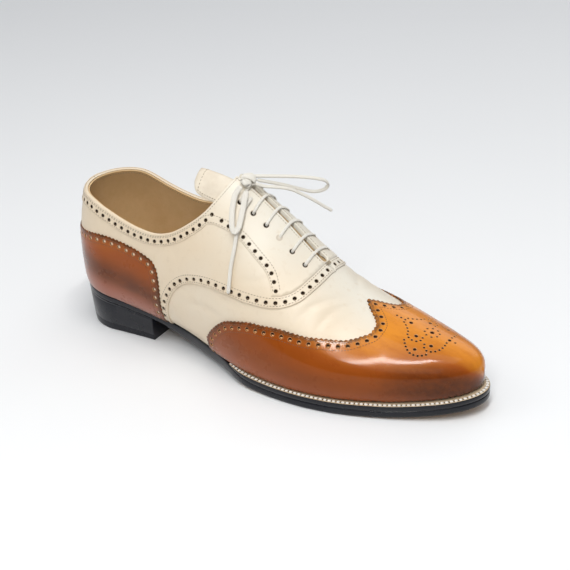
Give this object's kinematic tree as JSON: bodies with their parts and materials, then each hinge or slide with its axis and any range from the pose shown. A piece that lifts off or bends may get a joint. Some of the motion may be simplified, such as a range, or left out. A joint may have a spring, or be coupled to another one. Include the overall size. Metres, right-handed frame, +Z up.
{
  "type": "spectator shoe",
  "caption": "Two-tone wing-tip spectator shoe for the right foot: cream leather oxford with tan toe cap and counter, broguing, black leather sole, stacked heel and tied laces.",
  "frame": {"origin": "on the floor, under the middle of the shoe's length and width", "axes": "+X to the toe, +Y to the inner (medial) side, +Z up"},
  "size_m": [0.3002, 0.0994, 0.1243],
  "materials": {
    "cream_leather": "smooth calf, soft sheen",
    "tan_leather": "polished calf, burnished edges",
    "sole_leather": "black edge ink, polished",
    "welt_leather": "natural strip with pale stitching",
    "lining_leather": "matt vegetable-tanned",
    "lace_cotton": "waxed flat cotton"
  },
  "bodies": {
    "root": {"outsole": "sole_leather", "heel": "sole_leather", "welt": "welt_leather", "insole": "lining_leather", "upper": "cream_leather", "toe_cap": "tan_leather", "counter": "tan_leather", "quarter_lateral": "cream_leather", "quarter_medial": "cream_leather", "tongue": "cream_leather", "lace_bars": "lace_cotton", "lace_knot": "lace_cotton", "lace_loop_lateral": "lace_cotton", "lace_end_lateral": "lace_cotton", "lace_loop_medial": "lace_cotton", "lace_end_medial": "lace_cotton"}
  },
  "joints": []
}
